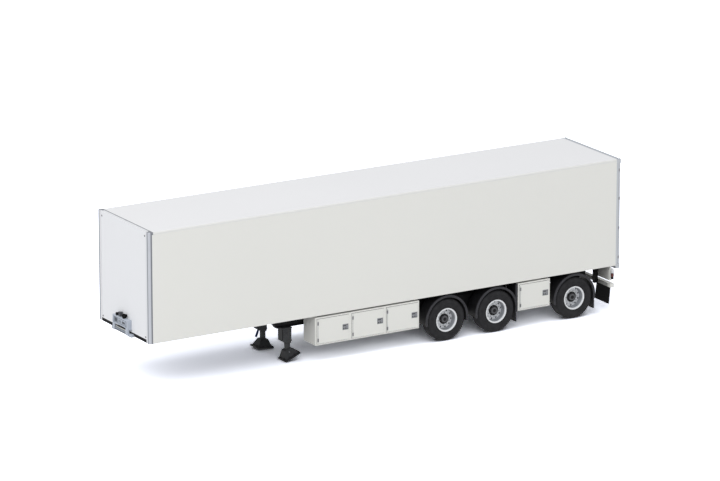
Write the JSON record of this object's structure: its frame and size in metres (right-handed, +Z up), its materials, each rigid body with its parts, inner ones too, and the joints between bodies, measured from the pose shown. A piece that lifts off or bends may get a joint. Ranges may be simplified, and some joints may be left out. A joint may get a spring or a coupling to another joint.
{
  "type": "scale model of a box semi trailer",
  "caption": "Scale model of a white box semi trailer on its landing legs: hollow body, hinged rear doors, wheels that turn on their axles, side lockers, mudguards and kingpin.",
  "frame": {"origin": "on the ground at the middle of the overall length and width", "axes": "+X forward to the front wall, +Y to the left side, +Z up"},
  "size_m": [0.2744, 0.0526, 0.08],
  "materials": {
    "white_plastic": "smooth satin white moulding",
    "roof_white": "smooth cool white moulding",
    "silver_trim": "satin silver paint",
    "floor_grey": "matt grey",
    "chassis_black": "satin black paint on die-cast metal",
    "leg_grey": "satin dark grey",
    "bracket_grey": "satin blue-grey moulding",
    "black_plastic": "matt black moulding",
    "black_rubber": "soft matt rubber",
    "tyre_rubber": "matt black with fine sidewall rings",
    "wheel_silver": "bright silver paint, black hub cap",
    "pin_steel": "turned steel",
    "lamp_red": "clear red lens"
  },
  "bodies": {
    "root": {"chassis_deck": "chassis_black", "load_floor": "floor_grey", "front_wall": "roof_white", "front_frame": "silver_trim", "left_side_wall": "white_plastic", "right_side_wall": "white_plastic", "roof": "roof_white", "rear_frame": "silver_trim", "left_rail": "chassis_black", "right_rail": "chassis_black", "cross_members": "chassis_black", "coupling_plate": "chassis_black", "kingpin": "pin_steel", "air_tanks": "chassis_black", "connection_bracket": "bracket_grey", "connectors": "black_plastic", "left_landing_leg": "leg_grey", "right_landing_leg": "leg_grey", "left_foot": "leg_grey", "right_foot": "leg_grey", "leg_crank": "black_plastic", "left_lockers": "white_plastic", "right_lockers": "white_plastic", "left_locker_doors": "white_plastic", "right_locker_doors": "white_plastic", "left_mudguards": "black_plastic", "right_mudguards": "black_plastic", "suspension_arms": "chassis_black", "air_springs": "black_rubber", "rear_brackets": "chassis_black", "light_boards": "white_plastic", "tail_lamps": "lamp_red", "underrun_bar": "white_plastic", "rear_flaps": "black_rubber", "marker_lamps": "lamp_red", "axle_1": "chassis_black", "axle_2": "chassis_black", "axle_3": "chassis_black"},
    "left_door": {"left_door_edging": "silver_trim", "left_door_panel": "white_plastic", "left_door_locks": "pin_steel"},
    "left_wheelset_1": {"left_tyre_1": "tyre_rubber", "left_wheel_1": "wheel_silver"},
    "left_wheelset_2": {"left_tyre_2": "tyre_rubber", "left_wheel_2": "wheel_silver"},
    "left_wheelset_3": {"left_tyre_3": "tyre_rubber", "left_wheel_3": "wheel_silver"},
    "right_door": {"right_door_edging": "silver_trim", "right_door_panel": "white_plastic", "right_door_locks": "pin_steel"},
    "right_wheelset_1": {"right_tyre_1": "tyre_rubber", "right_wheel_1": "wheel_silver"},
    "right_wheelset_2": {"right_tyre_2": "tyre_rubber", "right_wheel_2": "wheel_silver"},
    "right_wheelset_3": {"right_tyre_3": "tyre_rubber", "right_wheel_3": "wheel_silver"}
  },
  "joints": [
    {"name": "left_door_hinge", "type": "hinge", "parent": "root", "child": "left_door", "pos_m": [-0.13592, 0.02482, 0.0522], "axis": [0, 0, -1], "range_deg": [0, 180]},
    {"name": "left_wheel_1_spin", "type": "hinge", "parent": "root", "child": "left_wheelset_1", "pos_m": [-0.03404, 0.02115, 0.01075], "axis": [0, 1, 0], "continuous": true},
    {"name": "left_wheel_2_spin", "type": "hinge", "parent": "root", "child": "left_wheelset_2", "pos_m": [-0.06324, 0.02115, 0.01075], "axis": [0, 1, 0], "continuous": true},
    {"name": "left_wheel_3_spin", "type": "hinge", "parent": "root", "child": "left_wheelset_3", "pos_m": [-0.10984, 0.02115, 0.01075], "axis": [0, 1, 0], "continuous": true},
    {"name": "right_door_hinge", "type": "hinge", "parent": "root", "child": "right_door", "pos_m": [-0.13592, -0.02482, 0.0522], "axis": [0, 0, 1], "range_deg": [0, 180]},
    {"name": "right_wheel_1_spin", "type": "hinge", "parent": "root", "child": "right_wheelset_1", "pos_m": [-0.03404, -0.02115, 0.01075], "axis": [0, 1, 0], "continuous": true},
    {"name": "right_wheel_2_spin", "type": "hinge", "parent": "root", "child": "right_wheelset_2", "pos_m": [-0.06324, -0.02115, 0.01075], "axis": [0, 1, 0], "continuous": true},
    {"name": "right_wheel_3_spin", "type": "hinge", "parent": "root", "child": "right_wheelset_3", "pos_m": [-0.10984, -0.02115, 0.01075], "axis": [0, 1, 0], "continuous": true}
  ]
}
